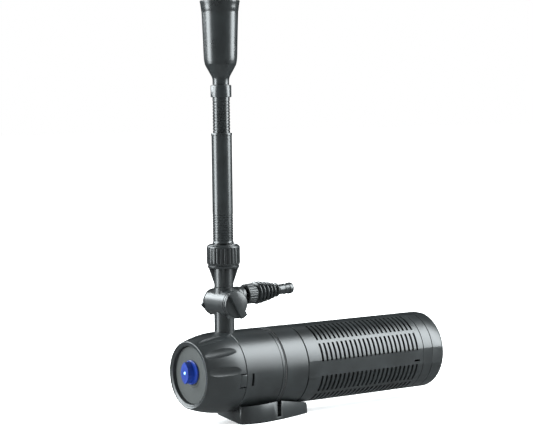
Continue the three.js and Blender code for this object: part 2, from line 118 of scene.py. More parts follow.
def turned(name, profile, axis="z", centre=None, steps=96):
    # Spins [along, radius] points about an axis. A profile off the axis closes on itself.
    along, outward = directions[axis]
    centre = centre or hub
    points = [centre + (along * a + outward * r) * mm for a, r in profile]
    if profile[0][1] > 0 or profile[-1][1] > 0:
        points.append(points[0])
    drawLine(points)
    bpy.ops.mesh.select_all(action="SELECT")
    bpy.ops.mesh.spin(steps=steps, angle=2 * math.pi, center=centre, axis=along)
    return closeUp(name)


def arc(a, r, radius, start, end, count=5):  # points of a round corner in a profile
    turns = [math.radians(start + (end - start) * i / count) for i in range(count + 1)]
    return [(a + radius * math.cos(turn), r + radius * math.sin(turn)) for turn in turns]


def block(name, low, high):
    clearSelection()
    bpy.ops.mesh.primitive_cube_add(size=1)
    editAll()
    size = [(b - a) * mm for a, b in zip(low, high)]
    bpy.ops.transform.resize(value=size, center_override=(0, 0, 0))
    bpy.ops.transform.translate(value=spot(*[(a + b) / 2 for a, b in zip(low, high)]))
    return closeUp(name)


def slab(name, outline, lift):  # fills an outline of points and extrudes it by a vector
    drawLine(outline + [outline[0]])
    bpy.ops.mesh.select_all(action="SELECT")
    bpy.ops.mesh.remove_doubles(threshold=0.002 * mm)
    bpy.ops.mesh.edge_face_add()
    bpy.ops.mesh.extrude_region_move(TRANSFORM_OT_translate={"value": lift * mm})
    return closeUp(name)


def ringOf(piece, count, axis, centre=None):  # copies a shape round an axis, inside its own mesh
    pick(piece)
    editAll()
    step = 2 * math.pi / count
    bpy.ops.mesh.spin(
        steps=count - 1, angle=step * (count - 1), dupli=True,
        center=centre or hub, axis=directions[axis][0],
    )
    bpy.ops.object.mode_set(mode="OBJECT")
    return piece


def turnedBy(piece, degrees, axis, centre=None):
    pick(piece)
    place = centre or hub
    turn = Matrix.Rotation(math.radians(degrees), 4, directions[axis][0])
    piece.data.transform(Matrix.Translation(place) @ turn @ Matrix.Translation(-place))
    return piece


def apply(piece, kind, **settings):
    pick(piece)
    modifier = piece.modifiers.new(kind.title(), kind)
    for key, value in settings.items():
        setattr(modifier, key, value)
    bpy.ops.object.modifier_apply(modifier=modifier.name)


def combine(piece, operation, *others):
    for other in others:
        apply(piece, "BOOLEAN", operation=operation, object=other, solver="EXACT")
        bpy.data.objects.remove(other)
    return piece


def cutAway(piece, *tools):
    return combine(piece, "DIFFERENCE", *tools)


def weld(piece, *others):
    return combine(piece, "UNION", *others)


def soften(piece, width, segments=2, angle=34):
    apply(
        piece, "BEVEL", width=width * mm, segments=segments, limit_method="ANGLE",
        angle_limit=math.radians(angle), use_clamp_overlap=True, harden_normals=False,
    )
    return piece


def settle(piece, node, finish, shadeAngle=38):
    pick(piece)
    bpy.ops.object.shade_smooth_by_angle(angle=math.radians(shadeAngle))
    piece.data.materials.clear()
    piece.data.materials.append(finish)
    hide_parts(node)
    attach(piece, bodyOf[node])
    return piece


# ---- camera, floor and lights ----
cameraView = {
    "azimuth": -36.456, "elevation": 3.319, "roll": -0.758,
    "distance": 1.9793, "lens": 122.96, "aimAside": 0.047315, "aimUp": 0.171455,
}


def setCamera():
    turn, lift, roll = [math.radians(cameraView[key]) for key in ("azimuth", "elevation", "roll")]
    back = Vector((math.sin(turn) * math.cos(lift), -math.cos(turn) * math.cos(lift), math.sin(lift)))
    right = Vector((math.cos(turn), math.sin(turn), 0))
    up = back.cross(right)
    aim = hub + right * cameraView["aimAside"] + up * cameraView["aimUp"]
    rolledRight = right * math.cos(roll) + up * math.sin(roll)
    rolledUp = up * math.cos(roll) - right * math.sin(roll)
    place = Matrix((rolledRight, rolledUp, back)).transposed().to_4x4()
    place.translation = aim + back * cameraView["distance"]
    bpy.ops.object.camera_add()
    camera = bpy.context.object
    camera.name = "viewCamera"
    camera.matrix_world = place
    camera.data.sensor_width = 36
    camera.data.lens = cameraView["lens"]
    camera.data.clip_end = 60
    bpy.context.scene.camera = camera


# "aside" is the turn from the camera's direction to the light's, to the right, and "lift" its rise, in degrees
lightPlan = {
    "rightSoftbox": {"aside": 91, "lift": 30, "far": 1.6, "size": (0.9, 1.75), "power": 76},
    "leftSoftbox": {"aside": -80, "lift": 20, "far": 1.6, "size": (0.8, 1.7), "power": 70},
    "highSoftbox": {"aside": -117, "lift": 27, "far": 1.7, "size": (0.8, 0.7), "power": 28},
    "backSoftbox": {"aside": 190, "lift": 42, "far": 1.7, "size": (1.6, 0.4), "power": 1},
}
floorGlow = {"height": 0.4, "size": 0.9, "power": 0.6}


def addLight(name, place, towards, size, power):
    bpy.ops.object.light_add(type="AREA", location=place)
    light = bpy.context.object
    light.name = name
    light.rotation_euler = towards.to_track_quat("Z", "Y").to_euler()
    light.data.shape = "RECTANGLE"
    light.data.size, light.data.size_y = size
    light.data.energy = power
    light.data.color = (0.91, 0.975, 1.0)
    return light


def setLights():
    middle = spot(60, 0, 60)
    for name, plan in lightPlan.items():
        turn = math.radians(cameraView["azimuth"] - 90 + plan["aside"])
        lift = math.radians(plan["lift"])
        towards = Vector((math.cos(turn) * math.cos(lift), math.sin(turn) * math.cos(lift), math.sin(lift)))
        addLight(name, middle + towards * plan["far"], towards, plan["size"], plan["power"])
    # a faint sheet of light on the floor stands in for the floor's own reflection in the pump's underside
    place = Vector((hub.x + 0.1, hub.y, floorGlow["height"] * mm))
    glow = addLight("floorGlow", place, Vector((0, 0, -1)), (floorGlow["size"], floorGlow["size"]), floorGlow["power"])
    glow.visible_camera = False
    world = bpy.data.worlds.new("studio")
    world.use_nodes = True
    world.node_tree.nodes["Background"].inputs["Color"].default_value = (1, 1, 1, 1)
    world.cycles_visibility.glossy = False  # gloss shows the softboxes against a dark studio
    bpy.context.scene.world = world
    bpy.context.scene.view_settings.view_transform = "Standard"


clearSelection()
setCamera()
setLights()
print("camera and lights set")


# ---- shader helpers ----
class Socket:  # one output of a node; adding, multiplying and so on make Math nodes
    def __init__(self, finish, output):
        self.finish = finish
        self.output = output

    def math(self, operation, first, second):
        return self.finish.node("Math", {"operation": operation}, {0: first, 1: second})

    def __add__(self, other):
        return self.math("ADD", self, other)

    def __radd__(self, other):
        return self.math("ADD", other, self)

    def __sub__(self, other):
        return self.math("SUBTRACT", self, other)

    def __rsub__(self, other):
        return self.math("SUBTRACT", other, self)

    def __mul__(self, other):
        return self.math("MULTIPLY", self, other)

    def __rmul__(self, other):
        return self.math("MULTIPLY", other, self)


class Finish:  # a material and its nodes
    def __init__(self, name, **constants):
        self.material = bpy.data.materials.new(name)
        self.material.use_nodes = True
        self.tree = self.material.node_tree
        self.shader = self.tree.nodes["Principled BSDF"]
        for key, value in constants.items():
            self.shader.inputs[key.replace("_", " ")].default_value = value

    def node(self, kind, settings, inputs, output=0):
        made = self.tree.nodes.new("ShaderNode" + kind)
        for key, value in settings.items():
            if key == "stops":
                for element, (position, grey) in zip(made.color_ramp.elements, value):
                    element.position = position
                    element.color = (grey, grey, grey, 1)
            else:
                setattr(made, key, value)
        for key, value in inputs.items():
            self.plug(made.inputs[key], value)
        return Socket(self, made.outputs[output])

    def plug(self, socket, value):
        if isinstance(value, Socket):
            self.tree.links.new(value.output, socket)
        else:
            socket.default_value = value

    def place(self):
        return self.node("TexCoord", {}, {}, "Object")

    def noise(self, place, size, detail=2.0, roughness=0.5):  # size is one patch's, in metres
        return self.node(
            "TexNoise", {}, {"Vector": place, "Scale": 1 / size, "Detail": detail, "Roughness": roughness}
        )

    def ramp(self, value, low, high):  # a mask that goes from 0 at low to 1 at high
        return self.node("MapRange", {"clamp": True}, {0: value, 1: low, 2: high, 3: 0.0, 4: 1.0})

    def blend(self, mask, first, second):
        return self.node("Mix", {"data_type": "RGBA"}, {0: mask, 6: (*first, 1), 7: (*second, 1)}, 2)

    def finish(self, colour, roughness, height=None, depth=0.0, strength=0.0):
        self.plug(self.shader.inputs["Base Color"], colour)
        self.plug(self.shader.inputs["Roughness"], roughness)
        if height:
            bump = self.node("Bump", {}, {"Strength": strength, "Distance": depth, "Height": height})
            self.plug(self.shader.inputs["Normal"], bump)
        return self.material


# ---- materials ----
def mouldedPlastic(name, look, **constants):
    # Plastic from a mould: a slight drift of tone, a fine grain, and dull patches where it was handled.
    made = Finish(name, **constants)
    place = made.place()
    drift = made.noise(place, look["drift"], 3.0)
    grain = made.noise(place, look["grain"], 2.0, 0.6)
    scuffs = made.ramp(made.noise(place, look["drift"] * 0.3, 6.0, 0.7), 0.58, 0.78)
    colour = made.blend(made.ramp(drift, 0.35, 0.65), look["dark"], look["light"])
    roughness = look["roughness"] + (drift - 0.5) * look["spread"] + scuffs * look["scuff"]
    return made.finish(colour, roughness, grain, look["depth"] * mm, look["strength"])


charcoalLook = {
    "dark": (0.0105, 0.0118, 0.0122), "light": (0.014, 0.0162, 0.0168), "roughness": 0.34, "spread": 0.06,
    "scuff": 0.05, "drift": 0.03, "grain": 0.0007, "depth": 0.03, "strength": 0.25,
}
tubeLook = dict(charcoalLook, roughness=0.28, drift=0.02, scuff=0.03, strength=0.15)
discLook = dict(
    charcoalLook, dark=(0.028, 0.031, 0.030), light=(0.034, 0.037, 0.036), roughness=0.62,
    grain=0.0005, strength=0.5,
)
insideLook = dict(charcoalLook, dark=(0.006, 0.0065, 0.007), light=(0.009, 0.0095, 0.010), roughness=0.5)
blueLook = dict(
    charcoalLook, dark=(0.003, 0.014, 0.11), light=(0.005, 0.022, 0.16), roughness=0.3, drift=0.006,
    strength=0.12,
)
# painted highlight: a paler blue for the faces round the grip's end, standing in for the light its rounded edge catches
paintedHighlightBlueLook = dict(blueLook, dark=(0.10, 0.30, 0.85), light=(0.16, 0.40, 0.95))
paleBlueLook = dict(
    blueLook, dark=(0.25, 0.50, 0.95), light=(0.36, 0.62, 1.0), roughness=0.15,
)
rubberLook = dict(
    charcoalLook, dark=(0.011, 0.011, 0.011), light=(0.018, 0.018, 0.018), roughness=0.72, strength=0.5,
)
resinLook = dict(insideLook, dark=(0.02, 0.02, 0.016), light=(0.03, 0.03, 0.024), roughness=0.22)
whiteLook = dict(
    charcoalLook, dark=(0.72, 0.70, 0.66), light=(0.80, 0.79, 0.75), roughness=0.25, strength=0.1,
)
boardLook = dict(
    charcoalLook, dark=(0.01, 0.07, 0.03), light=(0.015, 0.10, 0.045), roughness=0.4, drift=0.003,
)


def metal(name, dark, light, roughness, size):  # turned or drawn metal with fine marks
    made = Finish(name, Metallic=1.0)
    place = made.place()
    marks = made.noise(place, size, 4.0, 0.7)
    colour = made.blend(marks, dark, light)
    return made.finish(colour, roughness + (marks - 0.5) * 0.15, marks, 0.02 * mm, 0.3)


def clearQuartz():
    made = Finish("clearQuartz", Transmission_Weight=0.95, IOR=1.46)
    haze = made.noise(made.place(), 0.01, 3.0)
    return made.finish((0.93, 0.97, 1, 1), 0.02 + haze * 0.05)


def openFoam():
    made = Finish("openFoam")
    place = made.place()
    cells = made.node("TexVoronoi", {}, {"Vector": place, "Scale": 1 / (2.2 * mm)})
    pores = made.ramp(cells, 0.15, 0.6)
    # painted shade: the colour darkens into each pore's hollow, where shade falls
    colour = made.blend(pores, (0.004, 0.004, 0.004), (0.026, 0.029, 0.028))
    return made.finish(colour, 0.95 - pores * 0.1, pores, 0.8 * mm, 0.9)


charcoal = mouldedPlastic("charcoalPlastic", charcoalLook)
tubeBlack = mouldedPlastic("tubePlastic", tubeLook)
discGrey = mouldedPlastic("discPlastic", discLook, Specular_IOR_Level=0.25)
inside = mouldedPlastic("insidePlastic", insideLook)
blue = mouldedPlastic("bluePlastic", blueLook, Coat_Weight=0.15, Coat_Roughness=0.12)
# the painted edge highlight of the blue grip
paintedHighlightBlue = mouldedPlastic("blueEdgePaintedHighlight", paintedHighlightBlueLook, Coat_Weight=0.3)
paleBlue = mouldedPlastic("paleBluePlastic", paleBlueLook, Coat_Weight=0.6)
rubber = mouldedPlastic("blackRubber", rubberLook)
resin = mouldedPlastic("pottingResin", resinLook)
ceramic = mouldedPlastic("whiteCeramic", whiteLook)
lampGlass = mouldedPlastic("lampWhite", dict(whiteLook, roughness=0.12))
board = mouldedPlastic("circuitBoard", boardLook)
ferrite = metal("ferrite", (0.05, 0.05, 0.055), (0.08, 0.08, 0.085), 0.5, 0.002)
steel = metal("plainSteel", (0.48, 0.49, 0.50), (0.60, 0.61, 0.62), 0.3, 0.001)
copper = metal("copperWinding", (0.45, 0.17, 0.07), (0.62, 0.27, 0.12), 0.35, 0.0006)
quartz = clearQuartz()
foam = openFoam()
finishOf = {
    "charcoal": charcoal, "near_black": inside, "disc_grey": discGrey, "blue": blue, "pale_blue": paleBlue,
    "rubber": rubber, "ceramic": ceramic, "magnet": ferrite, "steel": steel, "copper": copper,
    "resin": resin, "glass": quartz, "lamp_white": lampGlass, "board_green": board, "foam": foam,
}
for nodeName, nodeObject in frame["nodes"].items():
    nodeObject.data.materials.clear()
    nodeObject.data.materials.append(finishOf[slotOf[nodeName]])
print("materials made")


def setFloor():
    made = Finish("paleFloor", Specular_IOR_Level=0.0, Emission_Color=(1, 1, 1, 1), Emission_Strength=0.3)
    tone = made.noise(made.place(), 0.4, 2.0)
    floorFinish = made.finish(made.blend(tone, (0.95, 0.95, 0.95), (0.97, 0.97, 0.97)), 0.9 + tone * 0.1)
    clearSelection()
    bpy.ops.mesh.primitive_plane_add(size=40)
    floor = bpy.context.object
    floor.name = "floor"
    floor.data.materials.append(floorFinish)
    floor.visible_glossy = False


setFloor()

# ---- front cap ----
rimX = reach("front_cap", 0)[0]
capEndX = reach("front_cap", 0)[1]
bodyRadius = reach("rear_ring", 1)[1] / math.cos(math.radians(14.5))
capLook = {
    "radius": 44.0, "rimRadius": 36.4, "swellEnd": -8.0, "wall": 2.8, "recessX": -43.3, "recessRadius": 31.5,
    "fluteAngles": (9, 38, 66, 114, 142, 171), "fluteSize": (36, 6.0, 3.6), "fluteSlope": -10.6, "fluteX": -28,
    "fluteHeight": 43.65,
}


def capRadius(x):
    share = (x - capLook["swellEnd"]) / (rimX - capLook["swellEnd"])
    return capLook["radius"] - (capLook["radius"] - capLook["rimRadius"]) * max(share, 0) ** 2


def frontCap():
    look = capLook
    count = 12
    swell = [rimX + 1.0 + (look["swellEnd"] - rimX - 1.0) * i / count for i in range(count + 1)]
    profile = [(x, capRadius(x)) for x in swell]
    profile += [(capEndX - 0.5, look["radius"])]
    profile += [(capEndX, look["radius"] - 0.5), (capEndX, look["radius"] - look["wall"])]
    profile += [(look["swellEnd"], look["radius"] - look["wall"]), (-28, capRadius(-28) - look["wall"] - 0.6)]
    profile += [(look["recessX"] + 3.4, 33.6), (look["recessX"] + 3.4, 29), (look["recessX"] + 2.8, 29)]
    profile += [(look["recessX"] + 2.8, look["recessRadius"]), (rimX + 2.2, look["recessRadius"])]
    profile += [(rimX + 1.7, look["recessRadius"] + 0.15), (rimX + 1.3, look["recessRadius"] + 0.6)]
    profile += [(rimX + 1.0, look["rimRadius"] - 2.2), (rimX + 0.6, look["rimRadius"] - 1.7)]
    profile += [(rimX + 0.1, look["rimRadius"] - 1.1), (rimX, look["rimRadius"] - 0.7)]
    profile += [(rimX + 0.15, look["rimRadius"] - 0.3), (rimX + 0.5, look["rimRadius"])]
    cap = turned("frontCap", profile, "x", steps=144)
    clearSelection()
    bpy.ops.mesh.primitive_uv_sphere_add(segments=64, ring_count=32, radius=mm)
    editAll()
    bpy.ops.transform.resize(value=look["fluteSize"], center_override=(0, 0, 0))
    fluteCentre = spot(look["fluteX"], 0, look["fluteHeight"])
    bpy.ops.transform.translate(value=fluteCentre)
    flute = turnedBy(closeUp("flute"), look["fluteSlope"], "y", fluteCentre)
    flutes = []
    for angle in look["fluteAngles"]:
        tool = flute.copy()
        tool.data = flute.data.copy()
        bpy.context.collection.objects.link(tool)
        flutes.append(turnedBy(tool, 90 - angle, "x"))
    bpy.data.objects.remove(flute)
    cutAway(cap, *flutes)
    riserHole = turned("riserHole", [(20, 0), (20, 11.25), (60, 11.25), (60, 0)], steps=64)
    latchHole = block("latchHole", (-10.1, -50, -13.2), (capEndX + 1, -35, 2.6))
    cutAway(cap, riserHole, latchHole)
    return settle(cap, "front_cap", charcoal)


def capLatch():
    look = capLook
    skin = [(-9.9, look["radius"]), (capEndX, look["radius"]), (capEndX, look["radius"] - 2), (-9.9, look["radius"] - 2)]
    latch = turned("capLatch", skin, "x", steps=144)
    keep = block("latchKeep", (-11, -50, -11.9), (capEndX + 1, -35, 1.3))
    combine(latch, "INTERSECT", keep)
    return settle(soften(latch, 0.2), "cap_latch", charcoal)


frontCap()
capLatch()
print("front cap made")

# ---- face disc and blue knob ----
knobLook = {"height": 3.0, "baseRadius": 13.1, "lobe": 13.2, "lobeShift": 6.05, "faceX": -53.0, "baseX": -45.7}
knobCentre = spot(0, 0, knobLook["height"])


def faceDisc():
    x = capLook["recessX"]
    r = capLook["recessRadius"] - 0.3
    profile = [(x, 0), (x, 13.5), (x + 0.25, 13.8), (x + 0.25, 14.4), (x, 14.7), (x, r - 0.4), (x + 0.4, r)]
    profile += [(x + 2.5, r), (x + 2.5, 0)]
    disc = turned("faceDisc", profile, "x", steps=128)
    bore = turned("bore", [(x - 1, 0), (x - 1, 4.2), (x + 4, 4.2), (x + 4, 0)], "x", knobCentre, 48)
    cutAway(disc, bore)
    return settle(disc, "face_disc", discGrey)


def flowKnob():
    look = knobLook
    lobe = [(look["faceX"], 0), (look["faceX"], look["lobe"]), (look["baseX"] + 1, look["lobe"]), (look["baseX"] + 1, 0)]
    grip = turned("flowKnob", lobe, "x", knobCentre + Vector((0, look["lobeShift"], 0)) * mm, 128)
    other = turned("lobe", lobe, "x", knobCentre - Vector((0, look["lobeShift"], 0)) * mm, 128)
    combine(grip, "INTERSECT", other)
    soften(grip, 1.0, 4)
    base = [(look["baseX"], 0), (look["baseX"], look["baseRadius"] - 0.6), (look["baseX"] + 0.6, look["baseRadius"])]
    base += [(-43.6, look["baseRadius"]), (-43.6, 3.4), (-36.5, 3.4), (-36.5, 0)]
    weld(grip, turned("knobBase", base, "x", knobCentre, 96))
    eye = turned("eyeHole", [(-54, 0), (-54, 2.3), (-51.5, 2.3), (-51.5, 0)], "x", knobCentre, 32)
    cutAway(grip, eye)
    settle(grip, "flow_knob", blue, 30)
    grip.data.materials.append(paintedHighlightBlue)
    for face in grip.data.polygons:  # a paler blue line runs round the grip's end face: a painted highlight that stands in for the light its rounded edge catches
        atEdge = face.center.x < spot(look["faceX"] + 1.05).x and 0.05 < -face.normal.x < 0.99
        if atEdge and (face.center - knobCentre).yz.length > 3 * mm:
            face.material_index = 1
    return grip


def knobEye():
    profile = [(-53.6, 0), (-53.5, 0.8), (-53.2, 1.4), (-52.6, 1.85), (-51.8, 2.0), (-51.8, 0)]
    return settle(turned("knobEye", profile, "x", knobCentre, 32), "knob_eye", paleBlue, 60)


faceDisc()
flowKnob()
knobEye()
print("face made")

# ---- motor housing and its gasket ----
housingLook = {"radius": 44.0, "wall": 2.8, "glandX": 30, "glandZ": -6, "seamX": 45.6}
housingX = (capEndX + 0.3, reach("joint_gasket", 0)[0] - 0.3)
glandCentre = spot(housingLook["glandX"], 0, housingLook["glandZ"])


def motorHousing():
    look = housingLook
    r = look["radius"]
    start, end = housingX
    seam = look["seamX"]  # a fine line round the housing
    profile = [(start, r - 0.6), (start + 0.5, r), (seam, r), (seam + 0.2, r - 0.5), (seam + 0.6, r - 0.5)]
    profile += [(seam + 0.8, r), (end - 0.3, r), (end, r - 0.3), (end, r - look["wall"])]
    profile += [(37, r - look["wall"]), (37, 30.4), (34, 30.4), (34, r - look["wall"]), (start, r - look["wall"])]
    shell = turned("motorHousing", profile, "x", steps=144)
    boss = turned("boss", [(41.5, 0), (41.5, 10.2), (45, 9.5), (48.6, 9.5), (49, 9.1), (49, 0)], "y", glandCentre, 64)
    weld(shell, boss)
    bore = turned("glandBore", [(35, 0), (35, 6.3), (50, 6.3), (50, 0)], "y", glandCentre, 48)
    slot = block("slot", (4.9, -50, -12.0), (7.8, -38, 1.8))
    riserHole = turned("riserHole", [(20, 0), (20, 11.25), (60, 11.25), (60, 0)], steps=64)
    cutAway(shell, bore, slot, riserHole)
    return settle(shell, "motor_housing", charcoal)


def jointGasket():
    start, end = reach("joint_gasket", 0)
    r = housingLook["radius"] - 0.1
    profile = [(start, r - 2), (start, r - 0.15), (start + 0.15, r), (end - 0.15, r), (end, r - 0.15), (end, r - 2)]
    return settle(turned("jointGasket", profile, "x", steps=128), "joint_gasket", rubber)


motorHousing()
jointGasket()
print("motor housing made")

# ---- filter cage, ring and rear cap ----
cageLook = {
    "radius": 44.0, "flat": 42.9, "bore": 40.2, "stepX": 82.7, "fadeX": 81.0, "slots": 23, "firstSlot": 101.9,
    "pitch": 6.24, "slotWidth": 2.9, "bands": ((10.5, 38.0), (43.0, 77.0)), "roll": 3,
}


def flatsTool(start, end, fade):  # a square bar that leaves four flats; its front end widens over the fade
    flat = cageLook["flat"]
    bar = block("flats", (start, -flat, -flat), (end, flat, flat))
    if fade:
        pick(bar)
        for face in bar.data.polygons:
            face.select = face.normal.x < -0.9
        bpy.ops.object.mode_set(mode="EDIT")
        bpy.ops.mesh.extrude_region_move(TRANSFORM_OT_translate={"value": Vector((-fade, 0, 0)) * mm})
        grow = (cageLook["radius"] + 1) / flat
        bpy.ops.transform.resize(value=(1, grow, grow), center_override=hub)
        bpy.ops.mesh.extrude_region_move(TRANSFORM_OT_translate={"value": Vector((-60, 0, 0)) * mm})
        bpy.ops.object.mode_set(mode="OBJECT")
    return turnedBy(bar, cageLook["roll"], "x")


def slotTools():
    look = cageLook
    half = look["slotWidth"] / 2
    tools = None
    first = look["firstSlot"]
    for low, high in look["bands"]:
        middle = (low + high) / 2
        points = [spot(first - half, 0, 38), spot(first - half, 0, 50), spot(first + half, 0, 50)]
        points += [spot(first + half, 0, 38), spot(first - half, 0, 38)]
        drawLine(points)
        bpy.ops.mesh.select_all(action="SELECT")
        bpy.ops.mesh.remove_doubles(threshold=0.002 * mm)
        bpy.ops.mesh.edge_face_add()
        bpy.ops.mesh.spin(steps=8, angle=math.radians(high - low), center=hub, axis=(1, 0, 0))
        slot = closeUp("slot")
        soften(slot, 0.7, 2, 60)
        lowest = min(math.degrees(math.atan2(v.co.z - hub.z, -(v.co.y - hub.y))) for v in slot.data.vertices)
        for start in (low, 180 - high, 180 + low, 360 - high):
            copy = slot.copy()
            copy.data = slot.data.copy()
            bpy.context.collection.objects.link(copy)
            turnedBy(copy, look["roll"] - (start - lowest), "x")
            if tools is None:
                tools = copy
            else:
                pick(tools)
                copy.select_set(True)
                bpy.ops.object.join()
        bpy.data.objects.remove(slot)
    pick(tools)
    apply(
        tools, "ARRAY", count=look["slots"], use_relative_offset=False, use_constant_offset=True,
        constant_offset_displace=(look["pitch"] * mm, 0, 0),
    )
    return tools


def filterCage():
    look = cageLook
    start, end = reach("filter_cage", 0)
    r = look["radius"]
    step = look["stepX"]
    profile = [(start, r - 0.4), (start + 0.4, r), (step - 0.7, r), (step - 0.6, r - 0.5), (step, r - 0.5)]
    profile += [(step + 0.1, r - 0.15), (end - 0.4, r - 0.15), (end, r - 0.55), (end, look["bore"]), (start, look["bore"])]
    cage = turned("filterCage", profile, "x", steps=144)
    combine(cage, "INTERSECT", flatsTool(look["stepX"], 320, look["stepX"] - look["fadeX"]))
    cutAway(cage, slotTools())
    dash = block("dash", (235.5, -46, -7.2), (243.5, -37, -5.0))
    cutAway(cage, dash)
    return settle(cage, "filter_cage", charcoal, 30)


def rearRing():
    look = cageLook
    start, end = reach("rear_ring", 0)
    r = look["radius"] - 0.1
    profile = [(start, r - 0.4), (start + 0.4, r), (end - 0.4, r), (end, r - 0.4), (end, 38), (start, 38)]
    ring = turned("rearRing", profile, "x", steps=144)
    combine(ring, "INTERSECT", flatsTool(200, 320, 0))
    return settle(ring, "rear_ring", charcoal, 30)


def rearCap():
    look = cageLook
    low, end = reach("rear_cap", 0)
    start = reach("rear_ring", 0)[1] + 0.3
    r = look["radius"] - 0.1
    profile = [(low, 0), (low, 37.6), (start, 37.6), (start, r - 0.4), (start + 0.4, r), (276.5, r)]
    profile += [(278.2, r - 0.55), (279.8, r - 1.7), (281, r - 3.2), (281.7, r - 4.7), (end, r - 6.4)]
    profile += [(end, 33), (end - 0.8, 32.2), (end - 0.8, 0)]
    cap = turned("rearCap", profile, "x", steps=144)
    combine(cap, "INTERSECT", flatsTool(200, 320, 0))
    return settle(cap, "rear_cap", charcoal, 30)


filterCage()
rearRing()
rearCap()
print("filter end made")

# ---- foot ----
footLook = {
    "front": -3.0, "rear": 100.0, "widest": 23.0, "half": 39.0, "peakX": 48.0, "peak": -33.2, "rearTop": -42.0,
    "rearTopX": 96.0, "frontTop": -34.8, "saddle": 44.3, "rim": 1.8, "trough": 5.0, "grooveX": (44, 50.5),
    "trimTurn": math.radians(15.3), "trimX": 5.5,
}


def footHalf(x):
    back = x - footLook["widest"]
    if back < 0:
        return footLook["half"] - 0.0055 * back ** 2
    return footLook["half"] - 0.12 * back - 0.0021 * back ** 2


def bisect(piece, point, normal):  # cuts off what lies past a plane and closes the cut
    pick(piece)
    editAll()
    bpy.ops.mesh.bisect(plane_co=point, plane_no=normal, use_fill=True, clear_outer=True)
    return closeUp(piece.name)


def footBase():
    look = footLook
    ground = -hub.z / mm
    side = [(look["front"], footHalf(look["front"]) - 7), (look["front"] + 0.9, footHalf(0) - 3.6)]
    side += [(look["front"] + 3.4, footHalf(0) - 1.0)]
    side += [(x, footHalf(x)) for x in (5, 10, 16, 23, 30, 38, 46, 54, 62, 70, 78, 86, 92, 97)]
    side += [(99.2, footHalf(99) - 0.9), (look["rear"], footHalf(100) - 2.6)]
    outline = [spot(x, -y, ground) for x, y in side] + [spot(x, y, ground) for x, y in reversed(side)]
    foot = slab("footBase", outline, Vector((0, 0, 24)))
    slopeBack = Vector((look["peak"] - look["rearTop"], 0, look["rearTopX"] - look["peakX"]))
    bisect(foot, spot(look["peakX"], 0, look["peak"]), slopeBack.normalized())
    slopeFront = Vector((look["frontTop"] - look["peak"], 0, look["peakX"] - look["front"]))
    bisect(foot, spot(look["peakX"], 0, look["peak"]), slopeFront.normalized())
    lean = Vector((look["rearTop"] - ground, 0, look["rear"] - look["rearTopX"]))
    bisect(foot, spot(look["rear"], 0, ground + 0.6), lean.normalized())
    trim = Vector((-math.cos(look["trimTurn"]), math.sin(look["trimTurn"]), 0))  # the front edge runs aslant
    bisect(foot, spot(look["trimX"], 0, ground), trim)
    # a rim is left round the top, with a trough inside it
    pick(foot)
    bpy.ops.object.mode_set(mode="EDIT")
    bpy.ops.mesh.select_all(action="DESELECT")
    bpy.ops.object.mode_set(mode="OBJECT")
    for face in foot.data.polygons:
        face.select = face.normal.z > 0.9
    bpy.ops.object.mode_set(mode="EDIT")
    bpy.ops.mesh.inset(thickness=look["rim"] * mm, depth=0, use_boundary=True)
    bpy.ops.mesh.extrude_region_move(TRANSFORM_OT_translate={"value": Vector((0, 0, -look["trough"])) * mm})
    foot = closeUp("footBase")
    saddle = [(-60, 0), (-60, look["saddle"]), (120, look["saddle"]), (120, 0)]
    cutAway(foot, turned("saddle", saddle, "x", steps=128))
    low, high = look["grooveX"]
    cutAway(foot, block("groove", (low, 28, -50.5), (high, 42, -20)))
    cutAway(foot, block("groove", (low, -42, -50.5), (high, -28, -20)))
    for x in (18, 38):
        hole = [(-56, 0), (-56, 4.4), (-51, 4.4), (-51, 2.3), (-44, 2.3), (-44, 0)]
        cutAway(foot, turned("screwHole", hole, "z", spot(x), 32))
    soften(foot, 0.5, 2, 40)
    return settle(foot, "foot_base", charcoal, 40)


def footScrew(node, x):
    profile = [(-53.6, 0), (-53.6, 3.4), (-53.2, 4), (-51.4, 4), (-51.4, 1.9), (-45.6, 1.9), (-45, 1.2), (-45, 0)]
    screw = turned("footScrew", profile, "z", spot(x), 32)
    for turn in (0, 90):
        cross = block("cross", (x - 2.6, -0.5, -54.5), (x + 2.6, 0.5, -52.4))
        cutAway(screw, turnedBy(cross, turn, "z", spot(x)))
    return settle(screw, node, steel)


footBase()
footScrew("foot_screw_front", 18)
footScrew("foot_screw_rear", 38)
print("foot made")

# ---- diverter valve ----
valveLook = {
    "barrel": 14.4, "half": 17.7, "height": 75.0, "pipe": 10.95, "pipeLow": 39.0, "neckTop": 92.2,
    "stub": 80.9, "knobFace": -24.5, "gripAngle": 62,
}
barrelCentre = spot(0, 0, valveLook["height"])
stubCentre = spot(0, 0, valveLook["stub"])


def plainBar(name, low, high, radius, axis="z", centre=None, steps=64, edge=0.0):
    profile = [(low, 0), (low, radius - edge), (low + edge, radius), (high - edge, radius), (high, radius - edge), (high, 0)]
    if not edge:
        profile = [(low, 0), (low, radius), (high, radius), (high, 0)]
    return turned(name, profile, axis, centre, steps)


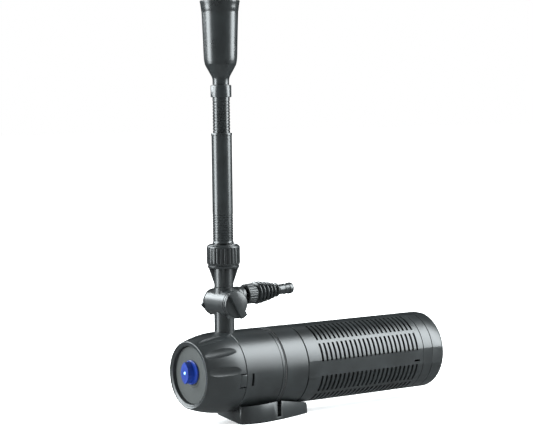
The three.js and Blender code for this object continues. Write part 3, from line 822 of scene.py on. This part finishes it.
def valveBody():
    look = valveLook
    body = plainBar("valveBody", -look["half"], look["half"], look["barrel"], "y", barrelCentre, 96, 0.5)
    pipe = plainBar("pipe", look["pipeLow"], look["neckTop"], look["pipe"], steps=80, edge=0.3)
    elbow = [(8, 0), (8, 9.4), (17, 9.4), (20, 9.0), (24, 8.9), (24, 0)]
    knuckle = [(10.0, 0)] + arc(17, 0, 9.9, 160, 20, 12) + [(26, 3.4), (26, 0)]
    knuckle = turned("knuckle", knuckle, "hose", stubCentre, 64)
    outlet = turned("outlet", elbow, "hose", stubCentre, 64)
    flange = plainBar("flange", 24.0, 26.6, 11.4, "hose", stubCentre, 64, 0.5)
    thread = plainBar("thread", 20, 34.1, 8, "hose", stubCentre, 48)
    weld(body, pipe, outlet, knuckle, flange, thread)
    soften(body, 0.8, 3, 50)
    spigot = plainBar("spigot", 30, 42, 9)
    weld(body, spigot)
    chamber = plainBar("chamber", -look["half"] - 1, look["half"] + 1, 11.6, "y", barrelCentre, 64)
    bore = plainBar("bore", 28, 100, 7.4)
    sideBore = plainBar("sideBore", 6, 40, 5.8, "hose", stubCentre, 48)
    cutAway(body, chamber, bore, sideBore)
    return settle(body, "valve_body", charcoal, 40)


def valveFarCap():
    look = valveLook
    back = look["half"] + 0.3
    cap = plainBar("valveFarCap", back, look["half"] + 2.8, look["barrel"], "y", barrelCentre, 96, 0.5)
    corner = [(-14.1, 1.1), (-16.5, -2.0), (-16.3, -3.4), (-15.3, -4.4), (-4.1, -14.8), (0, 0)]
    outline = [spot(x, look["half"] + 0.3, look["height"] + z) for x, z in corner]
    lug = slab("lug", outline, Vector((0, 2.5, 0)))
    weld(cap, lug)
    soften(cap, 0.3, 2, 50)
    weld(cap, plainBar("plug", look["half"] - 3, look["half"] + 1, 11.2, "y", barrelCentre, 64))
    return settle(cap, "valve_far_cap", charcoal)


def valveKnob():
    look = valveLook
    face = look["knobFace"]
    skirtProfile = [(face, 0), (face, look["barrel"] - 1.4), (face + 0.5, look["barrel"] - 0.5), (face + 1.4, look["barrel"])]
    skirtProfile += [(-21.6, look["barrel"]), (-21.3, look["barrel"] - 0.5), (-20.9, look["barrel"] - 0.5)]
    skirtProfile += [(-20.6, look["barrel"]), (-18.4, look["barrel"]), (-18, look["barrel"] - 0.4), (-18, 0)]
    knob = turned("valveKnob", skirtProfile, "y", barrelCentre, 96)
    grip = block("grip", (-18, face - 3.2, look["height"] - 4.3), (18, face + 0.5, look["height"] + 4.3))
    ends = plainBar("gripEnds", face - 4, face + 1, 16.2, "y", barrelCentre, 96)
    combine(grip, "INTERSECT", ends)
    turnedBy(grip, look["gripAngle"], "y", barrelCentre)
    soften(grip, 1.2, 3, 40)
    corner = [(-9, -10), (-8.4, -14.8), (-7.4, -15.2), (2.6, -15.6), (3.8, -15.2), (9, -10)]
    lug = slab("lug", [spot(x, -23.5, look["height"] + z) for x, z in corner], Vector((0, 5.2, 0)))
    weld(knob, grip, lug)
    weld(knob, plainBar("stem", -look["half"] - 1, -9.6, 9, "y", barrelCentre, 48))
    return settle(knob, "valve_knob", charcoal)


def valveSpool():
    spool = plainBar("valveSpool", -9.2, 14, 11.2, "y", barrelCentre, 64, 0.4)
    cutAway(spool, plainBar("through", -20, 20, 6.5, "z", barrelCentre, 48))
    cutAway(spool, plainBar("side", 0, 20, 6.5, "x", barrelCentre, 48))
    return settle(spool, "valve_spool", inside)


valveBody()
valveFarCap()
valveKnob()
valveSpool()
print("valve made")

# ---- hose nut and stepped hose tail ----
hoseLook = {"nutRibs": 24, "crests": ((42.9, 12.6), (47.9, 12.2), (53.6, 11.3), (59.2, 10.2), (64.3, 9.0), (70.4, 7.8))}


def ribbedNut(name, profile, radius, ribs, low, high, groove, axis, centre):
    nut = turned(name, profile, axis, centre, 120)
    along, outward = directions[axis]
    valley = plainBar("valley", low, high, groove, axis, centre, 12, groove * 0.6)
    valley.data.transform(Matrix.Translation(outward * radius * mm))
    cutAway(nut, ringOf(valley, ribs, axis, centre))
    return nut


def hoseNut():
    profile = [(27.1, 8.4), (27.1, 10.4), (27.7, 11), (37.6, 11.3), (38.6, 11), (39.9, 10.0), (39.9, 8.2)]
    profile += [(35.9, 8.2), (35.9, 8.4)]
    nut = ribbedNut("hoseNut", profile, 11.6, hoseLook["nutRibs"], 28, 38, 0.95, "hose", stubCentre)
    return settle(nut, "hose_nut", charcoal, 30)


def hoseTail():
    profile = [(36.1, 5), (36.1, 7.9), (40.3, 7.9), (40.3, 9.6)]
    for x, crest in hoseLook["crests"]:  # sharp rings with deep valleys between them
        profile += [(x - 2.1, crest - 2.4), (x - 1.6, crest - 0.7), (x - 1.2, crest - 0.2), (x - 0.6, crest)]
        profile += [(x - 0.1, crest - 0.1), (x + 0.3, crest - 0.7), (x + 0.7, crest - 2.5)]
    profile += [(72.2, 5.9), (73.4, 5.7), (80.4, 5.6), (80.8, 6.1), (81.6, 6.1), (82.0, 5.6)]
    profile += [(86.0, 5.7), (86.6, 6.3), (89.8, 6.3), (91.0, 5.9), (91.7, 5.2), (91.7, 4), (73, 4), (63, 5)]
    return settle(turned("hoseTail", profile, "hose", stubCentre, 96), "hose_adapter", tubeBlack, 40)


hoseNut()
hoseTail()
print("hose tail made")

# ---- ball joint ----
jointLook = {"neck": 92.5, "flange": 112.8, "top": 115.8, "ball": 122.0, "ballRadius": 13.2, "gussetTurn": -36}


def ballCup():
    look = jointLook
    flange = [(look["flange"], 0), (look["flange"], 15.9), (look["flange"] + 0.4, 16.7), (look["flange"] + 1.0, 17.1)]
    flange += [(look["top"] - 0.4, 17.1), (look["top"], 16.7), (look["top"], 0)]
    cup = turned("ballCup", flange, steps=96)
    stem = plainBar("stem", look["neck"], look["flange"] + 1, 10.4, steps=80, edge=0.3)
    corner = [(4, 95.2), (10.2, 95.2), (16.2, 113.3), (4, 113.3)]
    outline = [spot(x, -1, z) for x, z in corner]
    gusset = soften(slab("gusset", outline, Vector((0, 2, 0))), 0.25)
    turnedBy(gusset, look["gussetTurn"], "z")
    weld(cup, stem)
    for turn in range(4):
        wing = gusset.copy()
        wing.data = gusset.data.copy()
        bpy.context.collection.objects.link(wing)
        weld(cup, turnedBy(wing, 90 * turn, "z"))
    bpy.data.objects.remove(gusset)
    weld(cup, plainBar("thread", look["top"] - 1, 127, 15, steps=80, edge=0.5))
    clearSelection()
    bpy.ops.mesh.primitive_uv_sphere_add(segments=48, ring_count=24, radius=(look["ballRadius"] + 0.8) * mm)
    editAll()
    bpy.ops.transform.translate(value=spot(0, 0, look["ball"]))
    socket = closeUp("socket")
    mouth = plainBar("mouth", look["ball"], 130, look["ballRadius"] + 0.6)
    cutAway(cup, socket, mouth, plainBar("bore", 90, 115, 7.4))
    return settle(cup, "ball_cup", charcoal, 35)


def ballNut():
    low, high = reach("ball_nut", 2)
    profile = [(low, 15.6), (low, 16.6), (low + 1.5, 17.7), (low + 2.4, 18), (high - 3.6, 18)]
    profile += arc(high - 3.2, 15.4, 2.6, 90, 10, 5)
    profile += [(high, 15.4), (high, 14.9), (high - 0.4, 14.6), (high - 3.8, 11.6), (high - 5, 11.6)]
    profile += [(high - 8.2, 12.8), (high - 8.6, 15.6)]
    nut = ribbedNut("ballNut", profile, 18.5, 26, low + 1.6, high - 3.0, 1.55, "z", hub)
    return settle(nut, "ball_nut", charcoal, 30)


def jointBall():
    look = jointLook
    rise = 10.6
    turn = math.degrees(math.acos(rise / look["ballRadius"]))
    ball = arc(look["ball"], 0, look["ballRadius"], 180 - turn, turn, 24)
    profile = [(look["ball"] - rise, 5.6)] + ball + [(look["ball"] + rise, 7.2), (146.4, 7.2), (146.4, 5.6)]
    return settle(turned("jointBall", profile), "joint_ball", inside, 50)


def ballSealRing():
    profile = [(127.6, 12.3), (127.6, 14.5), (127.9, 14.8), (129.3, 14.8), (129.6, 14.5), (129.6, 11.5)]
    return settle(turned("ballSealRing", profile), "ball_seal_ring", rubber)


ballCup()
ballNut()
jointBall()
ballSealRing()
print("ball joint made")

# ---- telescopic riser ----
riserLook = {"outer": 11.05, "inner": 9.28, "bore": 9.5, "ringLow": 142.5, "ringCount": 11, "ringPitch": 2.75}


def riserOuter():
    look = riserLook
    low, high = reach("riser_outer", 2)
    r = look["outer"]
    profile = [(low, 7.7), (low, 11.2), (low + 0.3, 11.5), (low + 1.7, 11.5), (low + 2, 11.2)]
    for i in range(look["ringCount"]):
        z = look["ringLow"] + i * look["ringPitch"]
        profile += [(z, r), (z + 0.3, r - 0.5), (z + 0.8, r - 0.5), (z + 1.1, r)]
    profile += [(high - 3, r), (high - 2.6, r + 0.35), (high - 0.4, r + 0.35), (high, r + 0.05)]
    profile += [(high, look["bore"]), (146.6, look["bore"]), (146.6, 7.7)]
    return settle(turned("riserOuter", profile, steps=112), "riser_outer", tubeBlack, 40)


def riserInner():
    look = riserLook
    low, high = reach("riser_inner", 2)
    r = look["inner"]
    profile = [(low, 7.4), (low, r - 0.4), (low + 0.4, r)]
    z = low + 14
    while z < high - 14:
        profile += [(z, r), (z + 0.4, r - 0.5), (z + 1.0, r - 0.5), (z + 1.4, r)]
        z += 3.4
    profile += [(high - 0.4, r), (high, r - 0.4), (high, 7.4)]
    return settle(turned("riserInner", profile, steps=96), "riser_inner", tubeBlack, 40)


riserOuter()
riserInner()
print("riser made")

# ---- nozzle ----
def nozzleCollar():
    low, high = reach("nozzle_collar", 2)
    profile = [(low, 9.6), (low, 10.8), (low + 0.4, 11.2), (high - 0.8, 11.2), (high - 0.2, 10.8), (high, 10.2), (high, 9.6)]
    return settle(turned("nozzleCollar", profile, steps=96), "nozzle_collar", tubeBlack, 40)


def smoothed(points, steps=5):  # a smooth curve through a profile's points
    curve = []
    ends = [points[0]] + list(points) + [points[-1]]
    for i in range(len(points) - 1):
        before, start, end, after = [Vector(p) for p in ends[i:i + 4]]
        for k in range(steps):
            t = k / steps
            bend = (end - before) * t + (2 * before - 5 * start + 4 * end - after) * t ** 2
            curve.append(start + 0.5 * (bend + (3 * start - before - 3 * end + after) * t ** 3))
    return [tuple(p) for p in curve] + [points[-1]]


def bellNozzle():
    low, high = reach("bell_nozzle", 2)
    outside = smoothed([
        (low, 8.94), (318, 9.32), (324.5, 12.55), (331, 16.1), (334.4, 17.25), (341, 18.08), (360, 18.7), (388, 19.75),
    ])
    lip = [(389.5, 19.8), (390, 20.05), (394, 20.5), (398.6, 21.2), (399.4, 21.5), (high - 0.4, 21.5), (high, 21.1)]
    mouth = [(high, 20.5), (high - 0.5, 20.1), (398, 19.5)]
    inner = [(389, 18.1), (360, 17.1), (341, 16.3), (331, 14), (324, 10.4), (317, 7.6), (low, 7.6)]
    profile = outside + lip + mouth + smoothed(inner, 4)
    return settle(turned("bellNozzle", profile, steps=128), "bell_nozzle", tubeBlack, 40)


def jetTube():
    low, high = reach("jet_tube", 2)
    profile = [(low, 4.6), (low, 6.9), (316, 6.9)] + smoothed([(317, 6.6), (320, 5.6), (330, 5.3), (high - 0.5, 5.2)])
    profile += [(high, 4.7), (high, 4), (325, 4)]
    return settle(turned("jetTube", profile, steps=64), "jet_tube", inside, 40)


nozzleCollar()
bellNozzle()
jetTube()
print("nozzle made")

# ---- filter foam ----
def filterFoam():
    low, high = reach("filter_foam", 0)
    outer = 38.3
    sections = 60
    skin = [(low + (high - low) * i / sections, outer) for i in range(sections + 1)]
    profile = [(low, 21)] + skin + [(high, 21)]
    sleeve = turned("filterFoam", profile, "x", steps=128)
    bumps = bpy.data.textures.new("foamBumps", "CLOUDS")
    bumps.noise_scale = 3.2 * mm
    apply(sleeve, "DISPLACE", texture=bumps, strength=1.3 * mm, mid_level=0.5, texture_coords="LOCAL")
    piece = settle(sleeve, "filter_foam", foam, 80)
    return piece


filterFoam()
print("foam made")
